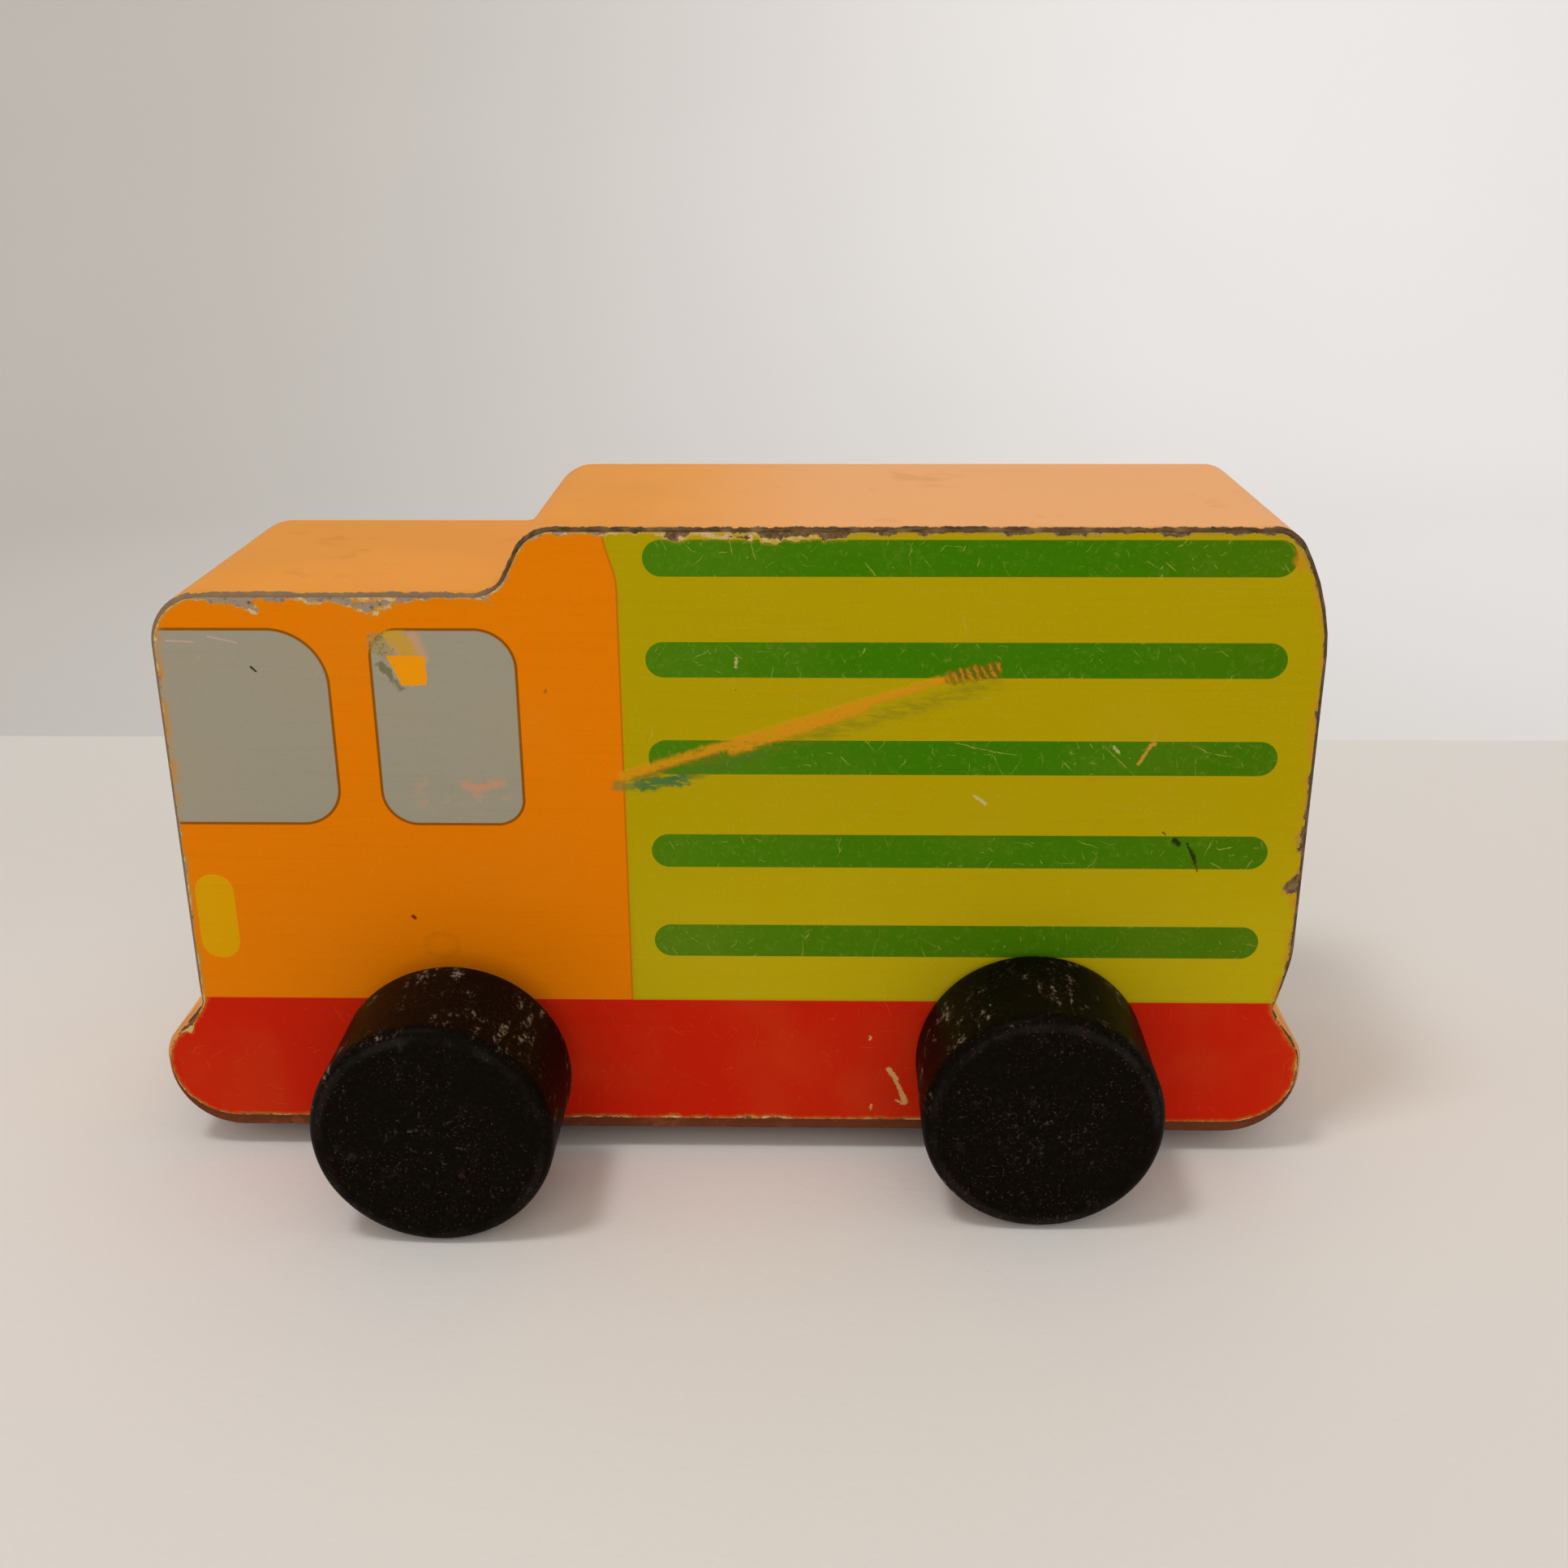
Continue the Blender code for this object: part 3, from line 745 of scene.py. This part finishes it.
def wheel_finish(look, name, centre):
    """Satin black paint with a rubbed rim, fine dust and scuffs on the tread."""
    make = Finish(f"{name}_black", specular=0.028, tint=(1.0, 0.82, 0.66, 1.0))
    radius = make.length(make.x - centre.x / MM, make.z - centre.z / MM)
    cloud = make.noise(5.0, detail=3.0)
    fine = make.noise(0.55, detail=3.0, rough=0.6)
    band = radius.rise(11.3, 11.9) * radius.rise(12.6, 12.2)
    dust = make.noise(0.34, detail=2.0, rough=0.6).rise(0.60, 0.70) * cloud.rise(0.36, 0.58)
    tread = radius.rise(12.3, 12.9)
    streak = make.noise(1.0, detail=4.0, rough=0.65, place=make.turned(0.0, (1.0, 0.35, 1.0)))
    scuffs = streak.rise(0.52, 0.66) * tread * cloud.rise(0.48, 0.60) * fine.rise(0.42, 0.58)
    patch = make.noise(3.0, detail=6.0, rough=0.80).rise(0.56, 0.74)
    patch = patch * cloud.rise(0.42, 0.58) * (1.0 - tread)
    heart = radius.rise(7.5, 1.5) * make.noise(0.8, detail=5.0, rough=0.8).rise(0.58, 0.68)
    base = make.layers(
        look.paint,
        (fine.rise(0.45, 0.75) * 0.5, (0.0085, 0.0062, 0.0045)),
        (band * cloud.rise(0.35, 0.65) * 0.22, look.worn),
        (dust * 0.34, (0.13, 0.062, 0.042)),
        (scuffs * 0.7, look.scuff),
        (patch * 0.30, (0.085, 0.060, 0.045)),
        (heart * 0.45, (0.150, 0.110, 0.080)),
    )
    rough = fine * 0.16 + scuffs * 0.2 + dust * 0.2 + 0.34
    relief = fine * 0.10 + cloud * 0.5 - patch * 0.15
    return make.finish(base, rough, relief, 0.20)


def dowel_finish(look):
    """Beech with long fine grain and short flecks."""
    make = Finish("beech_dowel", specular=0.3)
    grain = make.noise(0.5, detail=4.0, rough=0.6, place=make.turned(0.0, (1.0, 0.06, 1.0)))
    flecks = make.noise(0.35, detail=1.0, place=make.turned(0.0, (1.0, 0.25, 1.0))).rise(0.62, 0.70)
    base = make.layers(
        dimmed(look.wood, 0.72),
        (grain.rise(0.3, 0.7), look.wood),
        (flecks * 0.6, (0.24, 0.13, 0.06)),
    )
    return make.finish(base, grain * 0.2 + 0.5, grain * 0.3 + flecks * 0.2, 0.08)


# ---------------------------------------------------------------- modelling helpers


def deselect_all():
    if bpy.context.mode != "OBJECT":
        bpy.ops.object.mode_set(mode="OBJECT")
    bpy.ops.object.select_all(action="DESELECT")


def select_everything():
    bpy.ops.mesh.select_all(action="SELECT")


def edit_in_place():
    """Puts the object's place into its mesh and opens the mesh for editing."""
    bpy.ops.object.transform_apply(location=True, rotation=True, scale=True)
    bpy.ops.object.mode_set(mode="EDIT")


def face_outwards():
    select_everything()
    bpy.ops.mesh.normals_make_consistent(inside=False)


def close_edit():
    bpy.ops.object.mode_set(mode="OBJECT")


def extrude(x, y, z):
    bpy.ops.mesh.extrude_region_move(TRANSFORM_OT_translate={"value": (x, y, z)})


def named(name):
    piece = bpy.context.active_object
    piece.name = name
    piece.data.name = name
    return piece


def middle(element):
    """Centre of a vertex, edge or face in edit mode."""
    if isinstance(element, bmesh.types.BMVert):
        return element.co
    total = sum((corner.co for corner in element.verts), Vector())
    return total / len(element.verts)


def pick(kind, test):
    """Selects the vertices, edges or faces that pass a test, and returns how many."""
    bpy.ops.mesh.select_mode(type=kind)
    bpy.ops.mesh.select_all(action="DESELECT")
    data = bpy.context.edit_object.data
    mesh = bmesh.from_edit_mesh(data)
    elements = {"VERT": mesh.verts, "EDGE": mesh.edges, "FACE": mesh.faces}[kind]
    mesh.normal_update()
    chosen = [element for element in elements if test(element)]
    for element in chosen:
        element.select_set(True)
    bmesh.update_edit_mesh(data)
    return len(chosen)


def edge_along(edge, axis):
    step = edge.verts[1].co - edge.verts[0].co
    return abs(step.normalized()[axis]) > 0.999


def apply_modifier(piece, kind, **settings):
    deselect_all()
    piece.select_set(True)
    bpy.context.view_layer.objects.active = piece
    bpy.ops.object.modifier_add(type=kind)
    modifier = piece.modifiers[-1]
    for name, value in settings.items():
        setattr(modifier, name, value)
    bpy.ops.object.modifier_apply(modifier=modifier.name)


def wear(piece, texture, depth, **settings):
    """Pushes the surface in unevenly, never out."""
    apply_modifier(
        piece, "DISPLACE", texture=texture, direction="NORMAL", strength=depth, mid_level=1.0,
        texture_coords="LOCAL", **settings,
    )


def cloud_texture(name, size):
    texture = bpy.data.textures.new(name, "CLOUDS")
    texture.noise_scale = size
    texture.noise_depth = 2
    return texture


def vertex_group(piece, name, test):
    group = piece.vertex_groups.new(name=name)
    group.add([vertex.index for vertex in piece.data.vertices if test(vertex)], 1.0, "REPLACE")
    return name


def settle(piece, material, body, nodes):
    """Gives a finished piece its material and body, and hides the frame nodes that it stands for."""
    deselect_all()
    piece.select_set(True)
    bpy.context.view_layer.objects.active = piece
    edit_in_place()
    face_outwards()
    close_edit()
    bpy.ops.object.shade_smooth_by_angle(angle=SMOOTH_ANGLE)
    piece.data.materials.clear()
    piece.data.materials.append(material)
    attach(piece, body)
    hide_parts(*nodes)
    if not piece.data.polygons:
        raise RuntimeError(f"{piece.name} came out empty")


def truck_levels(block):
    """Heights at which the outline's ends change, with the places of its front and rear there."""
    foot = BLOCK_LOW.z
    front = BLOCK_LOW.x + block.front_reach
    rear = BLOCK_HIGH.x - block.rear_reach
    waist = foot + block.waist
    cab_roof = BLOCK_HIGH.z - block.cab_roof_drop
    slope = BLOCK_HIGH.z - block.slope_drop
    slope_share = (cab_roof - slope) / block.slope_drop
    return [
        (foot + block.shoulder, BLOCK_LOW.x, BLOCK_HIGH.x),
        (waist, front, rear - block.rear_tuck),
        (waist + block.tuck_rise, front, rear),
        (slope, front, rear),
        (cab_roof, front, rear - block.slope_run * slope_share),
    ]


def truck_corners(block):
    """Every corner of the outline that is rounded: its place (x, z) and radius, in metres."""
    foot = BLOCK_LOW.z
    roof = BLOCK_HIGH.z
    front = BLOCK_LOW.x + block.front_reach
    rear = BLOCK_HIGH.x - block.rear_reach
    step = front + block.cab_roof_length
    waist = foot + block.waist
    return [
        (BLOCK_LOW.x, foot, 0.0082),
        (BLOCK_HIGH.x, foot, 0.0082),
        (BLOCK_HIGH.x, foot + block.shoulder, 0.0045),
        (rear - block.rear_tuck, waist, 0.0012),
        (rear, waist + block.tuck_rise, 0.012),
        (rear, roof - block.slope_drop, 0.022),
        (rear - block.slope_run, roof, 0.004),
        (step + block.step_run, roof, 0.0045),
        (step, roof - block.cab_roof_drop, 0.0035),
        (front, roof - block.cab_roof_drop, 0.006),
        (front, waist, 0.0012),
        (BLOCK_LOW.x, foot + block.shoulder, 0.0045),
    ]


def add_truck_outline(name, block, low_y, high_y):
    """Extrudes the truck's side view upwards from its chassis, then rounds its corners."""
    deselect_all()
    levels = truck_levels(block)
    low = Vector((BLOCK_LOW.x, low_y, BLOCK_LOW.z))
    high = Vector((BLOCK_HIGH.x, high_y, levels[0][0]))
    bpy.ops.mesh.primitive_cube_add(size=1.0, location=(low + high) / 2)
    piece = named(name)
    piece.scale = high - low
    edit_in_place()
    top, old_front, old_rear = levels[0]
    for height, front, rear in levels[1:]:
        raise_top(top, height, old_front, old_rear)
        slide_end(height, old_front, front)
        slide_end(height, old_rear, rear)
        top, old_front, old_rear = height, front, rear
    step = BLOCK_LOW.x + block.front_reach + block.cab_roof_length
    select_everything()
    bpy.ops.mesh.bisect(plane_co=(step, 0.0, 0.0), plane_no=(1.0, 0.0, 0.0))
    raise_top(top, BLOCK_HIGH.z, step, old_rear)
    slide_end(BLOCK_HIGH.z, step, step + block.step_run)
    slide_end(BLOCK_HIGH.z, old_rear, BLOCK_HIGH.x - block.rear_reach - block.slope_run)
    select_everything()
    bpy.ops.mesh.dissolve_limited(angle_limit=math.radians(0.2))
    corners = truck_corners(block)
    for index in range(len(corners)):
        round_corner(corners, index)
    return piece


def raise_top(top, height, front, rear):
    """Extrudes the top faces between two places up to a new height."""
    pick(
        "FACE",
        lambda face: face.normal.z > 0.9
        and abs(middle(face).z - top) < TINY
        and front - TINY < middle(face).x < rear + TINY,
    )
    extrude(0.0, 0.0, height - top)


def slide_end(height, place, new_place):
    """Moves one end of a level along X."""
    if abs(new_place - place) < TINY:
        return
    pick("VERT", lambda vertex: abs(vertex.co.z - height) < TINY and abs(vertex.co.x - place) < TINY)
    bpy.ops.transform.translate(value=(new_place - place, 0.0, 0.0))


def round_corner(corners, index):
    """Bevels one Y edge of the outline to an arc of its radius."""
    place_x, place_z, radius = corners[index]
    here = Vector((place_x, place_z))
    back = (here - Vector(corners[index - 1][:2])).normalized()
    ahead = (Vector(corners[(index + 1) % len(corners)][:2]) - here).normalized()
    turn = math.acos(max(-1.0, min(1.0, back.dot(ahead))))
    found = pick(
        "EDGE",
        lambda edge: edge_along(edge, 1)
        and abs(middle(edge).x - place_x) < TINY
        and abs(middle(edge).z - place_z) < TINY,
    )
    if found != 1:
        raise RuntimeError(f"outline corner {index} has {found} edges")
    segments = max(3, round(turn / ARC_STEP))
    bpy.ops.mesh.bevel(offset=radius * math.tan(turn / 2), segments=segments, affect="EDGES")


def divide_long_edges(longest):
    """Cuts the outline's long straight edges into short lengths, for edges worn unevenly."""
    for cuts in (32, 16, 8, 4, 2):
        pick("EDGE", lambda edge: not edge_along(edge, 1) and edge.calc_length() > longest * cuts)
        bpy.ops.mesh.subdivide(number_cuts=cuts - 1)


# ---------------------------------------------------------------- pieces


class TRUCK_OT_block(bpy.types.Operator):
    """Builds the sawn and painted block, with its bores and sanded edges"""

    bl_idname = "truck.block"
    bl_label = "Painted block"

    def execute(self, context):
        block = context.scene.truck_block
        half = block.half_thickness
        piece = add_truck_outline("painted_block", block, -half, half)
        divide_long_edges(0.0011)
        pick("FACE", lambda face: abs(face.normal.y) > 0.5)
        bpy.ops.mesh.dissolve_faces()
        close_edit()
        apply_modifier(
            piece, "BEVEL", width=block.edge_round, segments=4, limit_method="ANGLE",
            angle_limit=BEVEL_ANGLE, use_clamp_overlap=False,
        )
        for place in AXLE_PLACES.values():
            self.cut_bore(piece, place, block)
        inside, outside = half - 0.0006, half - 0.0001
        worn = vertex_group(piece, "worn_edge", lambda v: inside < abs(v.co.y) < outside)
        wear(piece, cloud_texture("edge_wear", 0.0026), block.edge_wear, vertex_group=worn)
        settle(piece, block_finish(block), "body", ["body_block"])
        apply_modifier(piece, "WEIGHTED_NORMAL", mode="FACE_AREA", weight=80, keep_sharp=False)
        return {"FINISHED"}

    def cut_bore(self, piece, place, block):
        deselect_all()
        bpy.ops.mesh.primitive_cylinder_add(
            vertices=64, radius=block.bore_radius, depth=0.06, location=place, rotation=ACROSS
        )
        cutter = named("bore_cutter")
        apply_modifier(piece, "BOOLEAN", object=cutter, operation="DIFFERENCE", solver="EXACT")
        bpy.data.objects.remove(cutter)


class TRUCK_OT_prints(bpy.types.Operator):
    """Builds the two printed sheets glued on the block's sides"""

    bl_idname = "truck.prints"
    bl_label = "Printed sides"

    def execute(self, context):
        for side, direction in SIDES.items():
            self.build_sheet(context.scene, side, direction)
        return {"FINISHED"}

    def build_sheet(self, scene, side, direction):
        look = scene.truck_print
        block = scene.truck_block
        inner = direction * block.half_thickness
        outer = direction * OUTER_SIDE
        piece = add_truck_outline(f"{side}_print", block, min(inner, outer), max(inner, outer))
        pick("FACE", lambda face: face.normal.y * direction < 0.5)
        bpy.ops.mesh.delete(type="FACE")
        pick("FACE", lambda face: True)
        bpy.ops.mesh.inset(thickness=look.margin, use_boundary=True)
        pick("FACE", lambda face: len(face.verts) < 5)
        bpy.ops.mesh.delete(type="FACE")
        toe_top = BLOCK_LOW.z + TOE_HEIGHT
        shrink = (TOE_HEIGHT - look.foot_margin) / (TOE_HEIGHT - look.margin)
        pick("VERT", lambda vertex: vertex.co.z < toe_top)
        bpy.ops.transform.resize(value=(1.0, 1.0, shrink), center_override=(0.0, 0.0, toe_top))
        select_everything()
        bpy.ops.mesh.delete(type="ONLY_FACE")
        divide_long_edges(0.0014)
        select_everything()
        bpy.ops.mesh.edge_face_add()
        self.inset_rings(piece)
        pick("FACE", lambda face: True)
        extrude(0.0, inner - outer, 0.0)
        close_edit()
        settle(piece, print_finish(side, look), "body", [f"{side}_side_print"])

    def inset_rings(self, piece):
        """Insets rings round the edge, each vertex knowing how far in it is in millimetres."""
        mesh = bmesh.from_edit_mesh(piece.data)
        mesh.verts.layers.float.new("rim")
        bmesh.update_edit_mesh(piece.data)
        inside = 0.0
        for width in RIM_RINGS:
            pick("FACE", lambda face: len(face.verts) > 4)
            bpy.ops.mesh.inset(thickness=width * MM, use_boundary=True)
            inside += width
            mesh = bmesh.from_edit_mesh(piece.data)
            layer = mesh.verts.layers.float["rim"]
            for face in mesh.faces:
                if len(face.verts) > 4:
                    for corner in face.verts:
                        corner[layer] = inside
            bmesh.update_edit_mesh(piece.data)


class TRUCK_OT_dowels(bpy.types.Operator):
    """Builds the two dowels that carry the wheels"""

    bl_idname = "truck.dowels"
    bl_label = "Dowels"

    def execute(self, context):
        look = context.scene.truck_dowel
        finish = dowel_finish(look)
        for end in AXLE_PLACES:
            node = f"{end}_axle"
            low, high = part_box(node)
            self.build_dowel(f"{end}_dowel", low, high, look)
            settle(bpy.context.active_object, finish, f"{end}_wheelset", [node])
        return {"FINISHED"}

    def build_dowel(self, name, low, high, look):
        deselect_all()
        centre = (low + high) / 2
        bpy.ops.mesh.primitive_circle_add(
            vertices=48, radius=(high.x - low.x) / 2, fill_type="NGON",
            location=(centre.x, low.y, centre.z), rotation=ACROSS,
        )
        named(name)
        edit_in_place()
        pick("FACE", lambda face: True)
        extrude(0.0, high.y - low.y, 0.0)
        pick("EDGE", lambda edge: not edge_along(edge, 1))
        bpy.ops.mesh.bevel(offset=look.chamfer, segments=2, affect="EDGES")
        close_edit()


class TRUCK_OT_wheels(bpy.types.Operator):
    """Builds the four turned wheels, each sanded a little differently"""

    bl_idname = "truck.wheels"
    bl_label = "Wheels"

    def execute(self, context):
        look = context.scene.truck_wheel
        for end, centre in AXLE_PLACES.items():
            for side, outward in SIDES.items():
                self.build_wheel(look, end, side, outward, centre)
        return {"FINISHED"}

    def build_wheel(self, look, end, side, outward, centre):
        deselect_all()
        node = f"{end}_{side}_wheel"
        low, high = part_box(node)
        inner, outer = (high.y, low.y) if outward < 0 else (low.y, high.y)
        radius = (high.z - low.z) / 2
        bpy.ops.mesh.primitive_circle_add(
            vertices=look.segments, radius=radius, fill_type="NGON",
            location=(centre.x, inner, centre.z), rotation=ACROSS,
        )
        piece = named(f"{end}_{side}_disc")
        edit_in_place()
        steps = 8
        for _ in range(steps):
            pick_outermost(outward)
            extrude(0.0, (outer - inner) / steps, 0.0)
        axle_low, axle_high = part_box(f"{end}_axle")
        self.drill_blind_bore(look, inner, outer, radius, (axle_high.x - axle_low.x) / 2)
        self.round_rims(look, inner, outer, radius, centre)
        self.divide_face(outer)
        face_outwards()
        close_edit()
        texture = cloud_texture(f"{node}_hollows", 0.0085 + 0.0009 * len(bpy.data.textures))
        wear(piece, texture, look.unevenness)
        settle(piece, wheel_finish(look, node, centre), f"{end}_wheelset", [node])

    def drill_blind_bore(self, look, inner, outer, radius, bore):
        """Insets the inner face to the dowel's radius and pushes it in."""
        pick("FACE", lambda face: len(face.verts) > 4 and abs(middle(face).y - inner) < TINY)
        bpy.ops.mesh.inset(thickness=radius - bore)
        depth = (outer - inner) * (1 - look.face_wall / abs(outer - inner))
        extrude(0.0, depth, 0.0)

    def round_rims(self, look, inner, outer, radius, centre):
        for place, amount, parts in ((inner, look.inner_round, 3), (outer, look.outer_round, 6)):
            pick(
                "EDGE",
                lambda edge: all(
                    abs(corner.co.y - place) < TINY
                    and math.hypot(corner.co.x - centre.x, corner.co.z - centre.z) > radius * 0.98
                    for corner in edge.verts
                ),
            )
            bpy.ops.mesh.bevel(offset=amount, segments=parts, affect="EDGES")

    def divide_face(self, outer):
        """Insets rings on the outer face, so that it can be sanded uneven."""
        for width in FACE_RINGS:
            pick("FACE", lambda face: len(face.verts) > 4 and abs(middle(face).y - outer) < TINY)
            bpy.ops.mesh.inset(thickness=width)


def pick_outermost(outward):
    """Selects the many-sided face that lies furthest out."""
    data = bpy.context.edit_object.data
    mesh = bmesh.from_edit_mesh(data)
    discs = [face for face in mesh.faces if len(face.verts) > 4]
    far = max(discs, key=lambda face: middle(face).y * outward)
    pick("FACE", lambda face: face == far)


# ---------------------------------------------------------------- stage


def stage_finish(name, look):
    """Matt paper with faint clouds and fibres: the floor, and a second card laid on it further back, with
    painted shade and light across them.
    """
    make = Finish(name, specular=0.1)
    cloud = make.noise(160.0, detail=2.0)
    fibre = make.noise(0.9, detail=3.0)
    # Painted shade: the floor darkens towards its far left.
    shaded = make.x.rise(20.0, -170.0) * make.y.rise(-60.0, 90.0)
    floor = make.blend(shaded * 0.12, look.floor, (0.30, 0.28, 0.24))
    # Painted shade and light: the card runs from a shaded tone at its left end to a lit tone at its window
    # end.
    card = make.blend(make.x.rise(-270.0, 270.0), look.card_left, look.card_right)
    start = look.card_place / MM
    base = make.blend(make.y.rise(start - 0.4, start + 0.4), floor, card)
    base = make.blend(cloud.rise(0.3, 0.7) * 0.03, base, (0.2, 0.2, 0.2))
    return make.finish(base, 0.75 + fibre * 0.1, fibre, 0.03)


# Lamps: name, place, what it points at, size, watts, tint
LAMPS = (
    ("room_lamp", (-0.27, -0.24, 0.92), (0.0, 0.0, 0.0), (0.18, 0.18), 2.25, (0.96, 0.97, 1.0)),
    ("front_fill", (0.0, -0.90, 0.40), (0.0, 0.0, 0.05), (1.0, 0.8), 2.4, (1.0, 0.97, 0.94)),
    ("card_lamp", (0.1, 0.20, 0.45), (0.12, 0.80, 0.20), (0.5, 0.2), 0.50, (0.96, 0.97, 1.0)),
)


def add_area_light(name, place, target, size, power, tint):
    deselect_all()
    bpy.ops.object.light_add(type="AREA", location=place)
    lamp = bpy.context.active_object
    lamp.name = name
    lamp.data.name = name
    lamp.data.shape = "RECTANGLE"
    lamp.data.size = size[0]
    lamp.data.size_y = size[1]
    lamp.data.energy = power
    lamp.data.color = tint
    lamp.rotation_euler = (Vector(target) - Vector(place)).to_track_quat("-Z", "Y").to_euler()


class TRUCK_OT_stage(bpy.types.Operator):
    """Builds the floor that curves up behind, the soft lights and the camera"""

    bl_idname = "truck.stage"
    bl_label = "Stage"

    def execute(self, context):
        look = context.scene.truck_stage
        self.add_sweep(look)
        for row in LAMPS:
            add_area_light(*row)
        self.add_camera(look)
        self.set_world(look, context.scene)
        context.scene.view_settings.view_transform = "Standard"
        return {"FINISHED"}

    def add_sweep(self, look):
        """A floor that curves up well behind the object, past every view of its back."""
        deselect_all()
        size = 4.0
        below = -0.00005
        start = look.sweep_place
        bpy.ops.mesh.primitive_plane_add(size=size, location=(0.0, start - size / 2, below))
        piece = named("stage_floor")
        edit_in_place()
        pick("EDGE", lambda edge: middle(edge).y > start - TINY)
        centre = (0.0, start, below + look.sweep_radius)
        bpy.ops.mesh.spin(steps=90, angle=math.radians(90), center=centre, axis=(-1.0, 0.0, 0.0))
        pick("EDGE", lambda edge: middle(edge).y > start + look.sweep_radius - TINY)
        extrude(0.0, 0.0, 1.6)
        close_edit()
        piece.data.materials.append(stage_finish("stage_paper", look))

    def add_camera(self, look):
        deselect_all()
        bpy.ops.object.camera_add(location=look.camera_place)
        camera = bpy.context.active_object
        camera.name = "stage_camera"
        camera.data.lens = look.camera_lens
        camera.data.sensor_width = 36.0
        camera.data.clip_start = 0.01
        camera.data.clip_end = 20.0
        heading = Matrix.Rotation(look.camera_turn, 3, "Z")
        tilt = Matrix.Rotation(math.radians(90) - look.camera_tilt, 3, "X")
        roll = Matrix.Rotation(look.camera_roll, 3, "Z")
        camera.rotation_euler = (heading @ tilt @ roll).to_euler()
        bpy.context.scene.camera = camera

    def set_world(self, look, scene):
        world = bpy.data.worlds.new("room")
        scene.world = world
        world.use_nodes = True
        background = world.node_tree.nodes["Background"]
        background.inputs["Color"].default_value = (*look.world, 1.0)
        background.inputs["Strength"].default_value = 0.60


# ---------------------------------------------------------------- panel and run


class TRUCK_PT_panel(bpy.types.Panel):
    """Lists the settings and the steps that build the truck"""

    bl_label = "Push Along Truck"
    bl_idname = "TRUCK_PT_panel"
    bl_space_type = "VIEW_3D"
    bl_region_type = "UI"
    bl_category = "Truck"

    def draw(self, context):
        for step in STEPS:
            self.layout.operator(step.bl_idname)
        for name, group in SETTINGS.items():
            box = self.layout.box()
            box.label(text=group.__doc__)
            for setting in group.__annotations__:
                box.prop(getattr(context.scene, name), setting)


SETTINGS = {
    "truck_block": BlockSettings,
    "truck_print": PrintSettings,
    "truck_wheel": WheelSettings,
    "truck_dowel": DowelSettings,
    "truck_stage": StageSettings,
}
STEPS = (TRUCK_OT_block, TRUCK_OT_prints, TRUCK_OT_dowels, TRUCK_OT_wheels, TRUCK_OT_stage)
CLASSES = (*SETTINGS.values(), *STEPS, TRUCK_PT_panel)


def register():
    for cls in CLASSES:
        bpy.utils.register_class(cls)
    for name, group in SETTINGS.items():
        setattr(bpy.types.Scene, name, PointerProperty(type=group))


def unregister():
    for name in SETTINGS:
        delattr(bpy.types.Scene, name)
    for cls in reversed(CLASSES):
        bpy.utils.unregister_class(cls)


def main():
    register()
    for step in STEPS:
        group, name = step.bl_idname.split(".")
        getattr(getattr(bpy.ops, group), name)()


if __name__ == "__main__":
    main()
